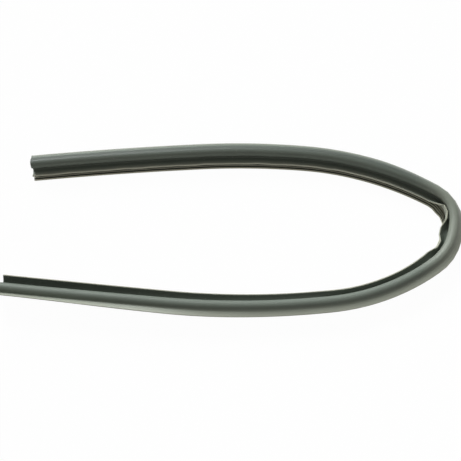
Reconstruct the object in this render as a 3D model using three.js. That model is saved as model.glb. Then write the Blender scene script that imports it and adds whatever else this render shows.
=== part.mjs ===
import * as THREE from "three";

// A dishwasher door seal: one extruded rubber strip, laid down in a narrow U.
// Its section is a hollow bulb on a stem, with a flange on the outer side of the U and, on the
// inner side, a lip above a slot whose floor carries gripping ribs.
// Millimetres and degrees. In the section, x points out of the U and y points up, and the bulb's
// centre is at 0, 0.

// The bulb: a tube that runs along the top of the strip.
const bulbRadius = 2.9;
const bulbWall = 0.7;

// The stem under the bulb, and the flat foot under the stem.
const stemWidth = 4.4;
const neckPinch = 0.5;
const seatDepth = 8.1;
const footReach = 6.2;
const footThickness = 1.3;
const footEdgeRound = 0.35;

// The flange on the outer side: it leaves the bulb along its surface, then turns to its own angle.
const flangeLeaveAngle = 42;
const flangeRootLength = 1.8;
const flangeReach = 3.05;
const flangeThickness = 0.7;

// The lip on the inner side.
const lipReach = 5.2;
const lipThickness = 1.1;
const lipRiseAngle = 22;
const lipHollow = 0.45;
const lipRootDrop = 4.2;

// The gripping ribs on the floor of the slot.
const ribCount = 3;
const ribPitch = 1.35;
const ribHeight = 0.45;
const ribInset = 0.8;

// The route of the bulb's centre on the ground, as arcs that run into each other: how long each
// one is, and how far it turns.
const farArmLength = 103.7;
const farArmAngle = -2.9;
const farBowLength = 63.4;
const farBowAngle = -7.7;
const farShoulderLength = 82.3;
const farShoulderAngle = -25.2;
const upperCornerLength = 22.2;
const upperCornerAngle = -68.7;
const bendFlatLength = 6;
const bendFlatAngle = -4.2;
const lowerCornerLength = 25.4;
const lowerCornerAngle = -41.8;
const nearShoulderLength = 65.6;
const nearShoulderAngle = -29.3;
const nearBowLength = 93.3;
const nearBowAngle = -10.9;
const nearArmLength = 98;
const nearArmAngle = -1;
const farArmHeading = 5.8;

// The near arm rolls a little towards its flange, from the bend to its free end.
const rollAngle = 16;
const rollLength = 190;

// The flange stands at an angle of its own along the strip: it droops on the far arm, most of
// all round the upper corner, lies almost level past the bend, and curls up at the free end.
const flangeFarAngle = -31;
const flangeShoulderAngle = -38;
const flangeCornerAngle = -60;
const flangeBendAngle = -35;
const flangeNearAngle = -10;
const flangeEndAngle = 76;
const flangeCurlLength = 165;

// The lip gathers where the bend squeezes it: up against the bulb at two crests, and bulging
// out between them. Places are measured from the start of the upper corner.
const upperCrestAt = 15;
const upperCrestAngle = 48;
const upperCrestLength = 24;
const troughAt = 31;
const troughAngle = -20;
const troughLength = 15;
const lowerCrestAt = 39;
const lowerCrestAngle = 34;
const lowerCrestLength = 13;

// How finely the strip is drawn.
const armStep = 10;
const bendStep = 1.8;
const bulbSides = 9;
const boreSides = 12;

const arcs = [
  { length: farArmLength, turn: farArmAngle },
  { length: farBowLength, turn: farBowAngle },
  { length: farShoulderLength, turn: farShoulderAngle },
  { length: upperCornerLength, turn: upperCornerAngle },
  { length: bendFlatLength, turn: bendFlatAngle },
  { length: lowerCornerLength, turn: lowerCornerAngle },
  { length: nearShoulderLength, turn: nearShoulderAngle },
  { length: nearBowLength, turn: nearBowAngle },
  { length: nearArmLength, turn: nearArmAngle },
];
const stripLength = arcs.reduce((sum, arc) => sum + arc.length, 0);
const bendStart = farArmLength + farBowLength + farShoulderLength;
const bendLength = upperCornerLength + bendFlatLength + lowerCornerLength;
const rad = THREE.MathUtils.degToRad;

// A point at an angle and a distance from a centre.
function polar(centre, angle, distance) {
  return new THREE.Vector2(
    centre.x + distance * Math.cos(rad(angle)),
    centre.y + distance * Math.sin(rad(angle)),
  );
}

// The points of an arc from one angle to another, both ends included.
function arcPoints(centre, radius, from, to, count) {
  const points = [];
  for (let i = 0; i <= count; i++) {
    points.push(polar(centre, from + ((to - from) * i) / count, radius));
  }
  return points;
}

// The lip, lifted by an angle about its root: a hollow upper face, a round edge and the underside.
function lipPoints(root, lift) {
  const angle = 180 - lipRiseAngle - lift;
  const along = polar({ x: 0, y: 0 }, angle, 1);
  const across = new THREE.Vector2(-along.y, along.x);
  const at = (reach, depth) =>
    root.clone().addScaledVector(along, reach * lipReach).addScaledVector(across, depth);
  const half = lipThickness / 2;
  return [
    at(0.3, lipHollow * 0.8),
    at(0.6, lipHollow),
    at(1 - half / lipReach, 0),
    at(1, half * 0.6),
    at(1, half * 1.4),
    at(1 - half / lipReach, lipThickness),
    at(0.55, lipThickness + lipHollow),
  ];
}

// The ribs on the slot's floor, from the foot's edge inwards: each leans towards the stem.
function ribPoints(edgeX, floorY) {
  const points = [];
  for (let i = 0; i < ribCount; i++) {
    const start = edgeX + ribInset + i * ribPitch;
    points.push(new THREE.Vector2(start + ribPitch * 0.7, floorY + ribHeight));
    points.push(new THREE.Vector2(start + ribPitch, floorY));
  }
  return points;
}

// The flange, from its underside at the root round its edge to where it leaves the bulb.
function flangePoints(angle) {
  const centre = { x: 0, y: 0 };
  const leave = polar(centre, flangeLeaveAngle, bulbRadius);
  const start = flangeLeaveAngle - 90;
  const sweep = angle - start;
  const radius = flangeRootLength / rad(sweep);
  const turnCentre = polar(leave, start + 90, radius);
  const root = arcPoints(turnCentre, radius, start - 90, angle - 90, 4);
  const top = root[4];
  const half = flangeThickness / 2;
  const under = polar(top, angle - 90, flangeThickness);
  const away = Math.max(under.length(), bulbRadius * 1.05);
  return [
    under.setLength(away),
    polar(polar(top, angle, flangeReach - half), angle - 90, flangeThickness),
    polar(polar(top, angle, flangeReach), angle - 90, half),
    polar(top, angle, flangeReach - half),
    ...root.reverse(),
  ];
}

// The section's outline, anticlockwise from the foot's outer corner, with the lip lifted and the
// flange at its angle.
function outline(lift, flangeAngle) {
  const centre = { x: 0, y: 0 };
  const outerX = stemWidth * 0.6;
  const innerX = outerX - stemWidth;
  const seatY = -seatDepth;
  const stemAngle = -THREE.MathUtils.radToDeg(Math.acos(outerX / bulbRadius));
  const neckAngle = 180 + THREE.MathUtils.radToDeg(Math.acos(-innerX / bulbRadius));
  const lipRoot = new THREE.Vector2(innerX - neckPinch, -lipRootDrop);
  const footEdgeX = innerX - footReach;
  const floorY = seatY + footThickness;
  const slotTopY = lipRoot.y - lipThickness;
  return [
    new THREE.Vector2(outerX, seatY),
    new THREE.Vector2(outerX, -lipRootDrop),
    ...arcPoints(centre, bulbRadius, stemAngle, stemAngle / 2, 1),
    ...flangePoints(flangeAngle),
    ...arcPoints(centre, bulbRadius, flangeLeaveAngle, 90, 5).slice(1),
    ...arcPoints(centre, bulbRadius, 90, neckAngle, bulbSides).slice(1),
    new THREE.Vector2(innerX, -lipRootDrop + neckPinch),
    lipRoot,
    ...lipPoints(lipRoot, lift),
    new THREE.Vector2(innerX, slotTopY),
    new THREE.Vector2(innerX, floorY),
    ...ribPoints(footEdgeX, floorY).reverse(),
    new THREE.Vector2(footEdgeX + footEdgeRound, floorY),
    new THREE.Vector2(footEdgeX, floorY - footEdgeRound),
    new THREE.Vector2(footEdgeX, seatY + footEdgeRound),
    new THREE.Vector2(footEdgeX + footEdgeRound, seatY),
  ];
}

// The bore of the bulb, anticlockwise.
function bore() {
  return arcPoints({ x: 0, y: 0 }, bulbRadius - bulbWall, 0, 360, boreSides).slice(0, boreSides);
}

// Where the route has got to after a length: place, and the heading there.
function routeAt(distance) {
  const place = new THREE.Vector2(0, 0);
  let heading = rad(farArmHeading);
  let left = distance;
  for (const arc of arcs) {
    const run = Math.min(left, arc.length);
    const turn = (rad(arc.turn) * run) / arc.length;
    const chord = run * (Math.abs(turn) > 1e-9 ? Math.sin(turn / 2) / (turn / 2) : 1);
    place.x += chord * Math.cos(heading + turn / 2);
    place.y += chord * Math.sin(heading + turn / 2);
    heading += turn;
    left -= run;
  }
  return { place, heading };
}

// A smooth hump of a height and a length about a middle.
function hump(distance, middle, length, height) {
  const t = Math.abs(distance - middle) / (length / 2);
  return t < 1 ? height * (0.5 + 0.5 * Math.cos(Math.PI * t * t)) : 0;
}

// How far the lip is lifted after a length of the route.
function liftAt(distance) {
  const d = distance - bendStart;
  return (
    hump(d, upperCrestAt, upperCrestLength, upperCrestAngle) +
    hump(d, troughAt, troughLength, troughAngle) +
    hump(d, lowerCrestAt, lowerCrestLength, lowerCrestAngle)
  );
}

// The flange's angle after a length of the route.
function flangeAngleAt(distance) {
  const ease = THREE.MathUtils.smoothstep;
  const bendEnd = bendStart + bendLength;
  const corner = bendStart + upperCornerLength / 2;
  const shoulder = ease(distance, farArmLength, bendStart - farShoulderLength / 2);
  const intoCorner = ease(distance, bendStart - farShoulderLength / 2, corner);
  const outOfCorner = ease(distance, corner, bendEnd - lowerCornerLength);
  const pastBend = ease(distance, bendEnd - lowerCornerLength, bendEnd);
  const curl = ease(distance, stripLength - flangeCurlLength, stripLength);
  return (
    flangeFarAngle +
    (flangeShoulderAngle - flangeFarAngle) * shoulder +
    (flangeCornerAngle - flangeShoulderAngle) * intoCorner +
    (flangeBendAngle - flangeCornerAngle) * outOfCorner +
    (flangeNearAngle - flangeBendAngle) * pastBend +
    (flangeEndAngle - flangeNearAngle) * curl
  );
}

// How far the section has rolled over after a length of the route.
function rollAt(distance) {
  return rollAngle * THREE.MathUtils.smoothstep(distance, stripLength - rollLength, stripLength);
}

// The places along the strip where its section is drawn: close together in the bend.
function stations() {
  const before = Math.ceil(bendStart / armStep);
  const within = Math.ceil(bendLength / bendStep);
  const after = Math.ceil((stripLength - bendStart - bendLength) / armStep);
  const places = [];
  for (let i = 0; i < before; i++) places.push((bendStart * i) / before);
  for (let i = 0; i < within; i++) places.push(bendStart + (bendLength * i) / within);
  const rest = bendStart + bendLength;
  for (let i = 0; i <= after; i++) places.push(rest + ((stripLength - rest) * i) / after);
  return places;
}

// The section at a place, rolled, stood on the ground and turned across the route.
function ringAt(distance) {
  const { place, heading } = routeAt(distance);
  const roll = -rad(rollAt(distance));
  const origin = new THREE.Vector2(0, 0);
  const shape = outline(liftAt(distance), flangeAngleAt(distance));
  const outer = shape.map((p) => p.rotateAround(origin, roll));
  const inner = bore().map((p) => p.rotateAround(origin, roll));
  const lowest = Math.min(...outer.map((p) => p.y));
  const out = new THREE.Vector2(-Math.sin(heading), Math.cos(heading));
  return [...outer, ...inner].map(
    (p) => new THREE.Vector3(place.x + out.x * p.x, place.y + out.y * p.x, p.y - lowest),
  );
}

// The strip as one closed skin: the outer wall, the bore's wall and the two cut ends.
function stripGeometry() {
  const outerCount = outline(0, flangeFarAngle).length;
  const rings = stations().map(ringAt);
  const ringSize = rings[0].length;
  const index = [];
  const wall = (start, count, inwards) => {
    for (let r = 0; r + 1 < rings.length; r++) {
      for (let i = 0; i < count; i++) {
        const a = r * ringSize + start + i;
        const b = r * ringSize + start + ((i + 1) % count);
        const c = b + ringSize;
        const d = a + ringSize;
        if (inwards) index.push(a, d, b, b, d, c);
        else index.push(a, b, d, b, c, d);
      }
    }
  };
  wall(0, outerCount, false);
  wall(outerCount, ringSize - outerCount, true);
  const cap = (ring, distance, turned) => {
    const shape = outline(liftAt(distance), flangeAngleAt(distance));
    const faces = THREE.ShapeUtils.triangulateShape(shape, [bore().reverse()]);
    const holeAt = (i) => (i < outerCount ? i : ringSize - 1 - (i - outerCount));
    for (const face of faces) {
      const [a, b, c] = face.map((i) => ring * ringSize + holeAt(i));
      if (turned) index.push(a, c, b);
      else index.push(a, b, c);
    }
  };
  cap(0, 0, true);
  cap(rings.length - 1, stripLength, false);
  const geometry = new THREE.BufferGeometry();
  geometry.setAttribute(
    "position",
    new THREE.Float32BufferAttribute(rings.flat().flatMap((p) => [p.x, p.y, p.z]), 3),
  );
  geometry.setIndex(index);
  return geometry;
}

// The seal lies on the ground, with its origin in the middle of the ground that it covers.
function doorSeal() {
  const geometry = stripGeometry();
  geometry.computeBoundingBox();
  const middle = geometry.boundingBox.getCenter(new THREE.Vector3());
  geometry.translate(-middle.x, -middle.y, -geometry.boundingBox.min.z);
  geometry.computeVertexNormals();
  const rubber = new THREE.MeshStandardMaterial({ color: 0x5c645a, roughness: 0.55, metalness: 0 });
  const seal = new THREE.Mesh(geometry, rubber);
  seal.name = "door_seal";
  return seal;
}

const part = new THREE.Group();
part.add(doorSeal());

export default part;
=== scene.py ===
import math

import bpy
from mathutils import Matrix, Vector


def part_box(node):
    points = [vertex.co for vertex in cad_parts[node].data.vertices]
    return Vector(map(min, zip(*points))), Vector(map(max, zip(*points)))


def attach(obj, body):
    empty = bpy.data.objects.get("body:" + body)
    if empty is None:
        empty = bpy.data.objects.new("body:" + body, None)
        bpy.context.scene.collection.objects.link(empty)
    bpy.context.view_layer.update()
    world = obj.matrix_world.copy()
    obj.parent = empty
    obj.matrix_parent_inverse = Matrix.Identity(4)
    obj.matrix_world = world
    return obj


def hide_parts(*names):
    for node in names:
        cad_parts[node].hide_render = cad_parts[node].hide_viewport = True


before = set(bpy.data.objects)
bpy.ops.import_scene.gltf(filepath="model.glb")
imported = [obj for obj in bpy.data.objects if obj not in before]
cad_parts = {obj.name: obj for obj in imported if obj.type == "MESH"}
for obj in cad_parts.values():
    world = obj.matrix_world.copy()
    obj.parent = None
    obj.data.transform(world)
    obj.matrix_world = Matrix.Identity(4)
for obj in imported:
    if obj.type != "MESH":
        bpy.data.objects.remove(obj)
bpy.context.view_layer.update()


# The view. The seal is seen from high in front, about 70 degrees above the ground, through a
# moderately long lens. The camera looks at the point on the ground behind the picture's middle.
VIEW_HEIGHT = math.radians(70.0)
VIEW_DISTANCE = 0.420
VIEW_TARGET = Vector((-0.00175, 0.00017, 0.0))
PICTURE_PIXELS = 461.0
VIEW_DISTANCE_PIXELS = 700.0

bpy.ops.object.camera_add()
camera = bpy.context.object
camera.name = "camera"
camera.data.sensor_width = 36.0
camera.data.lens = camera.data.sensor_width * VIEW_DISTANCE_PIXELS / PICTURE_PIXELS
camera.data.clip_start = 0.01
backwards = Vector((0.0, -math.cos(VIEW_HEIGHT), math.sin(VIEW_HEIGHT)))
camera.location = VIEW_TARGET + VIEW_DISTANCE * backwards
camera.rotation_euler = (math.pi / 2 - VIEW_HEIGHT, 0.0, 0.0)
bpy.context.scene.camera = camera
bpy.context.scene.view_settings.view_transform = "Standard"


# The ground and the light. The seal lies on a plain white sheet. A broad soft lamp shines from
# behind it, strongest on the near arm and the bend, and a weak even sky fills the shadows. The
# sheet is seen almost plain white, and keeps a little of the seal's shadow.
GROUND_SIZE = 6.0
SHEET_WHITE = 0.975
SKY_COLOUR = (1.0, 0.98, 0.94, 1.0)
SKY_STRENGTH = 0.30
LAMP_AIM = Vector((0.07, -0.08, 0.0))
LAMP_PLACE = Vector((-0.33, 0.84, 0.60))
LAMP_COLOUR = (0.95, 0.99, 1.0)
LAMP_POWER = 142.0
LAMP_CONE = math.radians(31.0)
LAMP_SIZE = 0.35

bpy.ops.object.select_all(action="DESELECT")
bpy.ops.mesh.primitive_plane_add(size=GROUND_SIZE)
ground = bpy.context.object
ground.name = "ground"
sheet_white = bpy.data.materials.new("sheet_white")
sheet_white.use_nodes = True
nodes = sheet_white.node_tree.nodes
links = sheet_white.node_tree.links
lit = nodes["Principled BSDF"]
lit.inputs["Base Color"].default_value = (0.9, 0.9, 0.9, 1.0)
lit.inputs["Roughness"].default_value = 0.9
plain = nodes.new("ShaderNodeEmission")
plain.inputs["Strength"].default_value = 1.0
blend = nodes.new("ShaderNodeMixShader")
blend.inputs["Fac"].default_value = SHEET_WHITE
links.new(lit.outputs["BSDF"], blend.inputs[1])
links.new(plain.outputs["Emission"], blend.inputs[2])
rays = nodes.new("ShaderNodeLightPath")
seen = rays.outputs["Is Camera Ray"]
for kind in ("Is Glossy Ray", "Is Transmission Ray"):
    either = nodes.new("ShaderNodeMath")
    either.operation = "MAXIMUM"
    links.new(seen, either.inputs[0])
    links.new(rays.outputs[kind], either.inputs[1])
    seen = either.outputs["Value"]
choice = nodes.new("ShaderNodeMixShader")
links.new(seen, choice.inputs["Fac"])
links.new(lit.outputs["BSDF"], choice.inputs[1])
links.new(blend.outputs["Shader"], choice.inputs[2])
links.new(choice.outputs["Shader"], nodes["Material Output"].inputs["Surface"])
ground.data.materials.append(sheet_white)

sky = bpy.data.worlds.new("sky")
sky.use_nodes = True
sky.node_tree.nodes["Background"].inputs["Color"].default_value = SKY_COLOUR
sky.node_tree.nodes["Background"].inputs["Strength"].default_value = SKY_STRENGTH
bpy.context.scene.world = sky

bpy.ops.object.light_add(type="SPOT", location=LAMP_PLACE)
lamp = bpy.context.object
lamp.name = "lamp"
lamp.data.energy = LAMP_POWER
lamp.data.color = LAMP_COLOUR
lamp.data.spot_size = LAMP_CONE
lamp.data.spot_blend = 1.0
lamp.data.shadow_soft_size = LAMP_SIZE
lamp.rotation_euler = (LAMP_AIM - LAMP_PLACE).to_track_quat("-Z", "Y").to_euler()


# The seal. It is one extruded strip of soft grey-green rubber, pushed into the groove of a door
# by its ribbed slot. It is drawn as it leaves the die, straight and with its section the same
# all along, and is then laid in its U, rolled and gathered as the real one lies.
MM = 0.001
BULB_RADIUS = 2.9
BULB_WALL = 0.7
BULB_OUTER_END = -4.0
STEM_WIDTH = 4.4
STEM_OUTER = 0.6 * STEM_WIDTH
STEM_INNER = STEM_OUTER - STEM_WIDTH
NECK_PINCH = 0.5
SEAT_DEPTH = 8.1
FOOT_REACH = 6.2
FOOT_THICKNESS = 1.3
FOOT_ROUND = 0.35
FLANGE_LEAVE = 42.0
FLANGE_ROOT_LENGTH = 1.8
FLANGE_REACH = 3.05
FLANGE_THICKNESS = 0.7
FLANGE_CLEARANCE = 1.05 * BULB_RADIUS
LIP_REACH = 5.2
LIP_THICKNESS = 1.1
LIP_RISE = 22.0
LIP_HOLLOW = 0.45
LIP_ROOT_DROP = 4.2
LIP_ROOT = (STEM_INNER - NECK_PINCH, -LIP_ROOT_DROP)
RIB_COUNT = 3
RIB_PITCH = 1.35
RIB_HEIGHT = 0.45
RIB_INSET = 0.8
# Each rib rises gently over the first share of its pitch, is flat to the second and then drops.
RIB_RISE_SHARE = 0.62
RIB_TOP_SHARE = 0.76

# How finely the strip and its section are divided. One subdivide makes at most 100 cuts.
RING_CUTS = 100
BULB_SIDES = 36
BORE_SIDES = 24
STEM_STEPS = 4
FLANGE_ROOT_STEPS = 12
LIP_STEPS = 9
EDGE_STEPS = 8
FOOT_STEPS = 4

# The route of the bulb's centre, as arcs: length in millimetres, turn in degrees.
ROUTE = ((103.7, -2.9), (63.4, -7.7), (82.3, -25.2), (22.2, -68.7), (6, -4.2), (25.4, -41.8),
         (65.6, -29.3), (93.3, -10.9), (98, -1))
ROUTE_HEADING = 5.8
STRIP_LENGTH = sum(length for length, turn in ROUTE)
BEND_START = sum(length for length, turn in ROUTE[:3])
BEND_END = sum(length for length, turn in ROUTE[:6])
FAR_ARM_END = ROUTE[0][0]
FAR_SHOULDER_MIDDLE = BEND_START - 0.5 * ROUTE[2][0]
UPPER_CORNER_MIDDLE = BEND_START + 0.5 * ROUTE[3][0]
LOWER_CORNER_START = BEND_END - ROUTE[5][0]
ROLL_ANGLE = 16.0
ROLL_LENGTH = 190.0
# Where the lip stands up: two gathers in the bend and a long lift on the near shoulder. Each is a
# place after the start of the bend, a length and an angle in degrees.
GATHERS = ((15.5, 25, 54), (42, 14, 40), (88, 84, 24))
LIP_HINGE = 0.35
# The far arm's lip ripples a little: height in degrees, wavelength / 2 pi, start in radians.
RIPPLES = ((1.6, 2.7, 0.0), (1.3, 1.1, 1.0))
RIPPLE_FADE = 60.0
# The flange's angle: on the far arm, then how much it changes between two places. Its root folds
# tighter towards the near end.
FLANGE_FAR = -31.0
FLANGE_CURL_LENGTH = 165.0
FLANGE_CHANGES = (
    (FAR_ARM_END, FAR_SHOULDER_MIDDLE, -7),
    (FAR_SHOULDER_MIDDLE, UPPER_CORNER_MIDDLE, -22),
    (UPPER_CORNER_MIDDLE, LOWER_CORNER_START, 25),
    (LOWER_CORNER_START, BEND_END, 25),
    (STRIP_LENGTH - FLANGE_CURL_LENGTH, STRIP_LENGTH, 86),
)
FLANGE_FOLD = 0.5
FLANGE_FOLD_LENGTH = 150.0
# How the foot's reach changes between two places: the bend crumples it, it partly recovers on the
# near shoulder, and the near arm tucks it in.
FOOT_CHANGES = (
    (BEND_START + 10.0, BEND_START + 22.0, -0.42),
    (BEND_END, BEND_END + 40.0, 0.27),
    (STRIP_LENGTH - ROLL_LENGTH, STRIP_LENGTH, -0.11),
)
# At the near end the lip and the foot, beyond the inset, are shorter than the bulb and the stem.
TRIM_LENGTH = 2.5
TRIM_INSET = 2.4
TRIM_FADE = 1.0
TRIM_RUN = 14.0


def polar(centre, angle, distance):
    """A point at an angle, in degrees, and a distance from a centre."""
    angle = math.radians(angle)
    return centre[0] + distance * math.cos(angle), centre[1] + distance * math.sin(angle)


def arc(radius, start, end, count, centre=(0.0, 0.0)):
    """Points of an arc, both ends included, in degrees."""
    return [polar(centre, start + (end - start) * i / count, radius) for i in range(count + 1)]


def turned(point, angle, centre=(0.0, 0.0)):
    """A point of the section, turned about a centre, in degrees."""
    dx, dy = point[0] - centre[0], point[1] - centre[1]
    c, s = math.cos(math.radians(angle)), math.sin(math.radians(angle))
    return centre[0] + c * dx - s * dy, centre[1] + s * dx + c * dy


def flange_points(angle, root_share=1.0):
    """The flange from its underside at the root, round its edge, to where it leaves the bulb."""
    start = FLANGE_LEAVE - 90.0
    radius = FLANGE_ROOT_LENGTH * root_share / math.radians(angle - start)
    middle = polar(polar((0.0, 0.0), FLANGE_LEAVE, BULB_RADIUS), start + 90.0, radius)
    root = arc(radius, start - 90.0, angle - 90.0, FLANGE_ROOT_STEPS, middle)
    half = 0.5 * FLANGE_THICKNESS
    blade = FLANGE_REACH - half
    bottom = polar(root[-1], angle - 90.0, FLANGE_THICKNESS)
    away = max(math.hypot(*bottom), FLANGE_CLEARANCE) / math.hypot(*bottom)
    points = [(bottom[0] * away, bottom[1] * away)]
    for i in (3, 4):
        points.append(polar(polar(root[-1], angle, blade * i / 4), angle - 90.0, FLANGE_THICKNESS))
    centre = polar(polar(root[-1], angle, blade), angle - 90.0, half)
    points += arc(half, angle - 90.0, angle + 90.0, EDGE_STEPS, centre)[1:]
    points += [polar(root[-1], angle, blade * i / 6) for i in range(5, 0, -1)]
    return points + root[::-1]


def lip_points(lift):
    """The lip from its root along its hollow upper face, round its edge and back below."""
    half = 0.5 * LIP_THICKNESS
    reach = LIP_REACH - half
    upper = []
    for i in range(1, LIP_STEPS):
        upper.append((i / LIP_STEPS * reach, LIP_HOLLOW * math.sin(math.pi * i / LIP_STEPS)))
    edge = [(reach + x, half + y) for x, y in arc(half, -90.0, 90.0, EDGE_STEPS)]
    lower = [(x, LIP_THICKNESS + y) for x, y in upper[:0:-1]]
    shaped = []
    for x, y in upper + edge + lower:
        swing = 180.0 - LIP_RISE - lift * min(1.0, x / LIP_REACH / LIP_HINGE)
        shaped.append(turned((LIP_ROOT[0] + x, LIP_ROOT[1] + y), swing, LIP_ROOT))
    return shaped


def section(lift, flange_angle, root_share=1.0, foot_share=1.0):
    """The outline of the section, anticlockwise from the foot's outer corner."""
    stem = -math.degrees(math.acos(STEM_OUTER / BULB_RADIUS))
    neck = 180.0 + math.degrees(math.acos(-STEM_INNER / BULB_RADIUS))
    floor_y = FOOT_THICKNESS - SEAT_DEPTH
    foot_x = STEM_INNER - FOOT_REACH
    points = [(STEM_OUTER, -SEAT_DEPTH), (STEM_OUTER, LIP_ROOT[1])]
    points += arc(BULB_RADIUS, stem, BULB_OUTER_END, STEM_STEPS)
    points += flange_points(flange_angle, root_share)
    points += arc(BULB_RADIUS, FLANGE_LEAVE, neck, BULB_SIDES)[1:]
    points += [(STEM_INNER, NECK_PINCH + LIP_ROOT[1]), LIP_ROOT]
    points += lip_points(lift)
    points += [(STEM_INNER, LIP_ROOT[1] - LIP_THICKNESS), (STEM_INNER, floor_y)]
    ribs = []
    for i in range(RIB_COUNT):
        start = foot_x + RIB_INSET + i * RIB_PITCH
        ribs += [(start, floor_y), (start + RIB_RISE_SHARE * RIB_PITCH, floor_y + RIB_HEIGHT)]
        ribs += [(start + RIB_TOP_SHARE * RIB_PITCH, floor_y + RIB_HEIGHT)]
    foot = ribs[::-1]
    for start, y in ((90.0, floor_y - FOOT_ROUND), (180.0, FOOT_ROUND - SEAT_DEPTH)):
        foot += arc(FOOT_ROUND, start, start + 90.0, FOOT_STEPS, (foot_x + FOOT_ROUND, y))
    points += [(STEM_INNER + (x - STEM_INNER) * foot_share, y) for x, y in foot]
    return points


def eased(distance, start, end):
    """A smooth rise from 0 to 1 between two places."""
    t = min(max((distance - start) / (end - start), 0.0), 1.0)
    return t * t * (3.0 - 2.0 * t)


def hump(distance, middle, length, height):
    """A smooth hump of the height about its middle, and 0 beyond its length."""
    t = 2.0 * abs(distance - middle) / length
    return height * (0.5 + 0.5 * math.cos(math.pi * t * t)) if t < 1.0 else 0.0


def route_at(distance):
    """The route's place and heading after a distance."""
    x = y = 0.0
    heading = math.radians(ROUTE_HEADING)
    for length, turn in ROUTE:
        run = min(distance, length)
        angle = math.radians(turn) * run / length
        chord = run * (math.sin(angle / 2) / (angle / 2) if abs(angle) > 1e-9 else 1.0)
        x += chord * math.cos(heading + angle / 2)
        y += chord * math.sin(heading + angle / 2)
        heading += angle
        distance -= run
    return x, y, heading


def lift_at(distance):
    """How far the lip is lifted at a distance, in degrees."""
    ripple = sum(height * math.sin(distance / pace + start) for height, pace, start in RIPPLES)
    gathers = sum(hump(distance - BEND_START, *gather) for gather in GATHERS)
    return gathers + ripple * (1.0 - eased(distance, BEND_START - RIPPLE_FADE, BEND_START))


def flange_at(distance):
    """The flange's angle at a distance."""
    return FLANGE_FAR + sum(change * eased(distance, *span) for *span, change in FLANGE_CHANGES)


def flange_root_at(distance):
    """How much of its length the flange's root shows at a distance."""
    return 1.0 - FLANGE_FOLD * eased(distance, STRIP_LENGTH - FLANGE_FOLD_LENGTH, STRIP_LENGTH)


def foot_at(distance):
    """How much of its reach the foot keeps at a distance."""
    return 1.0 + sum(change * eased(distance, *span) for *span, change in FOOT_CHANGES)


def roll_at(distance):
    """How far the section is rolled towards its flange at a distance, in degrees."""
    return -ROLL_ANGLE * eased(distance, STRIP_LENGTH - ROLL_LENGTH, STRIP_LENGTH)


# The straight strip: the section's outline and the bore are drawn as two closed wires, the face
# between them is filled, extruded to the strip's length and cut into rings. A vertex group goes
# along with it and keeps each point's number in the section, as a weight in thousandths.
NUMBER_SCALE = 1000.0
straight = section(0.0, FLANGE_FAR)
inner = arc(BULB_RADIUS - BULB_WALL, 0.0, 360.0, BORE_SIDES)[:BORE_SIDES]
bpy.ops.object.select_all(action="DESELECT")
bpy.ops.mesh.primitive_circle_add(vertices=len(straight), radius=1.0, fill_type="NOTHING")
seal = bpy.context.object
seal.name = "rubber_seal"
bpy.ops.object.mode_set(mode="EDIT")
bpy.ops.mesh.primitive_circle_add(vertices=len(inner), radius=1.0, fill_type="NOTHING")
bpy.ops.object.mode_set(mode="OBJECT")
numbers = seal.vertex_groups.new(name="number")
for i, (x, y) in enumerate(straight + inner):
    seal.data.vertices[i].co = (0.0, x, y)
    numbers.add([i], (i + 1) / NUMBER_SCALE, "REPLACE")
bpy.ops.object.mode_set(mode="EDIT")
bpy.ops.mesh.select_all(action="SELECT")
bpy.ops.mesh.fill(use_beauty=True)
bpy.ops.mesh.select_all(action="SELECT")
bpy.ops.mesh.extrude_region_move(TRANSFORM_OT_translate={"value": (STRIP_LENGTH, 0.0, 0.0)})
bpy.ops.mesh.select_mode(type="EDGE")
bpy.ops.mesh.select_all(action="DESELECT")
bpy.ops.object.mode_set(mode="OBJECT")
for edge in seal.data.edges:
    start, end = (seal.data.vertices[i].co.x for i in edge.vertices)
    edge.select = abs(end - start) > 0.5 * STRIP_LENGTH
bpy.ops.object.mode_set(mode="EDIT")
bpy.ops.mesh.subdivide(number_cuts=RING_CUTS)
bpy.ops.mesh.select_all(action="SELECT")
bpy.ops.mesh.normals_make_consistent(inside=False)
bpy.ops.object.mode_set(mode="OBJECT")

# Where each part of the section begins in its outline, and what each point tells the rubber's
# pattern: its place around the strip, and how far out on the flange, bulb or lip it is, or whether
# it is on the lip's underside, in the slot, or on an edge or rib top that gets a painted
# highlight.
first_flange = 2 + STEM_STEPS + 1
first_bulb = first_flange + len(flange_points(FLANGE_FAR))
first_neck = first_bulb + BULB_SIDES
first_lip = first_neck + 2
first_underside = first_lip + LIP_STEPS - 1 + 3 * EDGE_STEPS // 4
first_slot = first_lip + len(lip_points(0.0))
first_rib = first_slot + 2
first_edge = len(straight) - 2 * (FOOT_STEPS + 1)
rib_middle = FOOT_THICKNESS - SEAT_DEPTH + 0.5 * RIB_HEIGHT
leave = polar((0.0, 0.0), FLANGE_LEAVE, BULB_RADIUS)
PATTERNS = ("around", "flange", "bulb", "lip", "underside", "slot", "highlight_edge")
shares = {name: [0.0] * len(straight + inner) for name in PATTERNS}
for i, point in enumerate(straight):
    if i:
        shares["around"][i] = shares["around"][i - 1] + MM * math.dist(straight[i - 1], point)
    if first_flange <= i < first_bulb:
        out = math.dist(point, leave) / (FLANGE_ROOT_LENGTH + FLANGE_REACH)
        shares["flange"][i] = min(1.0, out)
    if first_bulb - (FLANGE_ROOT_STEPS + 1) <= i < first_neck:
        shares["bulb"][i] = 1.0 - max(0.0, i - first_bulb) / BULB_SIDES
    if first_lip <= i < first_slot:
        shares["lip"][i] = min(1.0, math.dist(point, LIP_ROOT) / LIP_REACH)
        shares["underside"][i] = 1.0 if i >= first_underside else 0.0
    if first_slot <= i < first_edge:
        rib_top = i >= first_rib and point[1] > rib_middle
        shares["slot"][i] = 0.0 if rib_top else 0.7 if i == first_edge - 1 else 1.0
        shares["highlight_edge"][i] = 0.9 if rib_top else 0.0
    if i >= first_edge:
        shares["highlight_edge"][i] = 1.0

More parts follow.
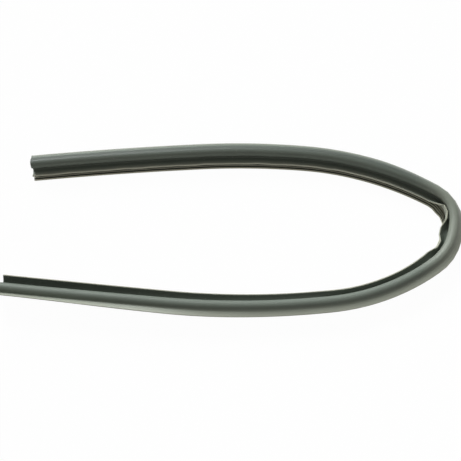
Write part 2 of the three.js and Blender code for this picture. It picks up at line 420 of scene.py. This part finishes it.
# The strip is laid: each ring takes the section's shape at its place, rolls, stands on the ground
# and turns across the route, and its points keep what they tell the pattern. A ring is known by
# its distance in whole millimetres.
for name in ("along", *PATTERNS):
    seal.data.attributes.new(name, "FLOAT", "POINT")
along = seal.data.attributes["along"].data
kept_shares = [(seal.data.attributes[name].data, shares[name]) for name in PATTERNS]
rings = {}
for vertex in seal.data.vertices:
    number = round(NUMBER_SCALE * vertex.groups[0].weight) - 1
    distance = vertex.co.x
    ring = round(distance)
    if ring not in rings:
        shape = section(
            lift_at(distance), flange_at(distance), flange_root_at(distance), foot_at(distance)
        )
        shape = [turned(point, roll_at(distance)) for point in shape + inner]
        rings[ring] = shape, min(y for x, y in shape), route_at(distance)
    shape, lowest, (route_x, route_y, heading) = rings[ring]
    x, y = shape[number]
    trimmed = eased(-x, TRIM_INSET, TRIM_INSET + TRIM_FADE) if number < len(straight) else 0.0
    back = TRIM_LENGTH * trimmed * eased(distance, STRIP_LENGTH - TRIM_RUN, STRIP_LENGTH)
    vertex.co = Vector((
        route_x - x * math.sin(heading) - back * math.cos(heading),
        route_y + x * math.cos(heading) - back * math.sin(heading), y - lowest,
    )) * MM
    along[vertex.index].value = distance * MM
    for data, share in kept_shares:
        data[vertex.index].value = share[number]

# It goes where the solid strip lies. Its rounder edges reach a few hundredths of a millimetre
# further than the solid's, so it is drawn in by as much.
solid_low, solid_high = (Vector(corner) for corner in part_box("door_seal"))
corners = [vertex.co for vertex in seal.data.vertices]
low = Vector([min(corner[i] for corner in corners) for i in range(3)])
high = Vector([max(corner[i] for corner in corners) for i in range(3)])
drawn_in = [min(1.0, (solid_high[i] - solid_low[i]) / (high[i] - low[i])) for i in range(3)]
for vertex in seal.data.vertices:
    for i in range(2):
        from_middle = vertex.co[i] - 0.5 * (low[i] + high[i])
        vertex.co[i] = 0.5 * (solid_low[i] + solid_high[i]) + drawn_in[i] * from_middle
    vertex.co[2] = solid_low[2] + drawn_in[2] * (vertex.co[2] - low[2])
bpy.ops.object.select_all(action="DESELECT")
seal.select_set(True)
bpy.context.view_layer.objects.active = seal
seal.vertex_groups.clear()
bpy.ops.object.shade_smooth_by_angle(angle=math.radians(35.0))


# The rubber: soft, matt and grey-green, with the die's fine lines along it. Light and shade are
# painted into its colour: the flange and the edges are painted paler where light falls, and the
# slot behind the lip, the lip's face and its underside are painted dark as shade.
DARK_RUBBER = (0.150, 0.175, 0.145, 1.0)
# Painted light: the flange towards its edge, the bulb and the lip's underside in the fold, and the
# far arm's lip towards its edge are painted paler where light falls on them.
PAINTED_LIGHT_RUBBER = (0.430, 0.445, 0.370, 1.0)
# Painted shade: the lip's face and underside and the far arm's bulb by the flange's root.
PAINTED_SHADE_RUBBER = (0.040, 0.052, 0.041, 1.0)
# Painted shadow deep in the slot behind the lip.
PAINTED_SLOT_SHADOW = (0.014, 0.018, 0.014, 1.0)
# Painted highlight on the lip's edge, the rib tops and the foot's edge.
PAINTED_EDGE_HIGHLIGHT = (0.600, 0.590, 0.460, 1.0)
DUST = (0.420, 0.430, 0.390, 1.0)
LINES_ALONG = 14.0
LINES_ACROSS = 1500.0
CLOUD_SCALE = 45.0
GRAIN_SCALE = 2600.0
SPECK_SCALE = 900.0
BUMP_HEIGHT = 0.0001

seal_rubber = bpy.data.materials.new("seal_rubber")
seal_rubber.use_nodes = True


class Shade:
    """A socket of the rubber's nodes that can stand in sums and products."""

    def __init__(self, socket):
        self.socket = socket

    @staticmethod
    def node(kind, settings, sockets, output=0):
        """Any node: its type, its settings, and the values or links of its sockets."""
        made = seal_rubber.node_tree.nodes.new(kind)
        for name, value in settings.items():
            if name == "stops":
                for stop, (place, level) in zip(made.color_ramp.elements, value):
                    stop.position = place
                    stop.color = (level, level, level, 1.0)
            else:
                setattr(made, name, value)
        for name, value in sockets.items():
            if isinstance(value, Shade):
                seal_rubber.node_tree.links.new(value.socket, made.inputs[name])
            else:
                made.inputs[name].default_value = value
        return Shade(made.outputs[output])

    def maths(self, operation, first, second):
        return Shade.node("ShaderNodeMath", {"operation": operation}, {0: first, 1: second})

    def __add__(self, other):
        return self.maths("ADD", self, other)

    def __radd__(self, other):
        return self.maths("ADD", other, self)

    def __rsub__(self, other):
        return self.maths("SUBTRACT", other, self)

    def __mul__(self, other):
        return self.maths("MULTIPLY", self, other)

    def __rmul__(self, other):
        return self.maths("MULTIPLY", other, self)

    def __pow__(self, other):
        return self.maths("POWER", self, other)


def kept(name):
    """A number that the strip's points keep."""
    return Shade.node("ShaderNodeAttribute", {"attribute_name": name}, {}, "Fac")


def noise(place, scale, detail):
    """A cloudy pattern from 0 to 1."""
    return Shade.node(
        "ShaderNodeTexNoise", {}, {"Vector": place, "Scale": scale, "Detail": detail}, "Fac"
    )


def stepped(value, low, high):
    """A ramp that is 0 up to the low value and 1 from the high one."""
    stops = ((low, 0.0), (high, 1.0))
    return Shade.node("ShaderNodeValToRGB", {"stops": stops}, {"Fac": value}, "Color")


def blended(share, first, second):
    """The first colour, with a share of the second."""
    return Shade.node("ShaderNodeMix", {"data_type": "RGBA"}, {0: share, 6: first, 7: second}, 2)


# The patterns: lines that the die draws along the strip, cloudy tone, grain and specks of dust.
flange, bulb, lip, underside, slot, highlight_edge = (kept(name) for name in PATTERNS[1:])
place = Shade.node("ShaderNodeTexCoord", {}, {}, "Object")
drawn = Shade.node(
    "ShaderNodeCombineXYZ", {}, {0: kept("along") * LINES_ALONG, 1: kept("around") * LINES_ACROSS}
)
lines = noise(drawn, 1.0, 3.0)
clouds = noise(place, CLOUD_SCALE, 3.0)
grain = noise(place, GRAIN_SCALE, 2.0)
specks = stepped(noise(place, SPECK_SCALE, 1.0), 0.70, 0.76)

# The places, by the length along the strip in half metres or metres: the far arm, the fold of the
# bend and the part of the near arm by the bend, whose lip gets less painted shade.
half_metres = kept("along") * 2.0
far_arm = 1.0 - stepped(half_metres, 0.44, 0.52)
fold = stepped(half_metres, 0.47, 0.51) * (1.0 - stepped(half_metres, 0.59, 0.63))
by_bend = 1.0 - stepped(kept("along"), 0.34, 0.52)

# The colours, one over the other, from the flange's painted light to the painted shadow in the
# slot and the painted highlight on the foot's edge.
# Painted shadow on the far arm's bulb beside the flange's root.
shaded_top = far_arm * stepped(bulb, 0.62, 0.92) * (1.0 - stepped(flange, 0.15, 0.90))
# Painted shade on the lip's face, lighter on the far arm's lip and by the bend.
lip_painted_shade = stepped(lip, 0.02, 0.10) * (1.0 - far_arm * stepped(lip, 0.10, 0.60))
lip_painted_shade = lip_painted_shade * (1.0 - underside)
# Painted highlight along the lip's edge.
lip_edge_highlight = stepped(lip, 0.90, 1.0)
# Painted light: the flange is painted paler towards its edge, and on the far arm only at its edge.
colour = blended(flange ** (1.0 + 3.0 * far_arm), DARK_RUBBER, PAINTED_LIGHT_RUBBER)
colour = blended(0.75 * shaded_top, colour, PAINTED_SHADE_RUBBER)
# Painted light on the bulb in the fold of the bend.
colour = blended(0.35 * fold * stepped(bulb, 0.0, 0.2), colour, PAINTED_LIGHT_RUBBER)
colour = blended((0.74 - 0.60 * by_bend) * lip_painted_shade, colour, PAINTED_SHADE_RUBBER)
# Painted light on the far arm's lip, paler towards its edge.
colour = blended(0.90 * far_arm * stepped(lip, 0.30, 0.95), colour, PAINTED_LIGHT_RUBBER)
colour = blended(0.65 * lip_edge_highlight, colour, PAINTED_EDGE_HIGHLIGHT)
# Painted shade under the lip, with painted light on its underside in the fold.
colour = blended(underside, colour, PAINTED_SHADE_RUBBER)
colour = blended(underside * fold, colour, PAINTED_LIGHT_RUBBER)
# Painted shadow in the slot.
colour = blended(stepped(slot, 0.0, 0.4), colour, PAINTED_SLOT_SHADOW)
# Painted highlight on the rib tops and the foot's edge.
colour = blended(0.95 * stepped(highlight_edge, 0.35, 0.80), colour, PAINTED_EDGE_HIGHLIGHT)
tone = 0.82 + 0.18 * lines + 0.18 * clouds
colour = Shade.node(
    "ShaderNodeVectorMath", {"operation": "SCALE"}, {"Vector": colour, "Scale": tone}, "Vector"
)
colour = blended(0.22 * specks, colour, DUST)
height = lines + 0.5 * grain
bump = Shade.node(
    "ShaderNodeBump", {}, {"Strength": 0.25, "Distance": BUMP_HEIGHT, "Height": height}, "Normal"
)
surface = seal_rubber.node_tree.nodes["Principled BSDF"]
rubber_links = seal_rubber.node_tree.links
rubber_links.new(colour.socket, surface.inputs["Base Color"])
rubber_links.new((0.48 + 0.16 * clouds).socket, surface.inputs["Roughness"])
rubber_links.new(bump.socket, surface.inputs["Normal"])
seal.data.materials.append(seal_rubber)
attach(seal, "root")
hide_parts("door_seal")
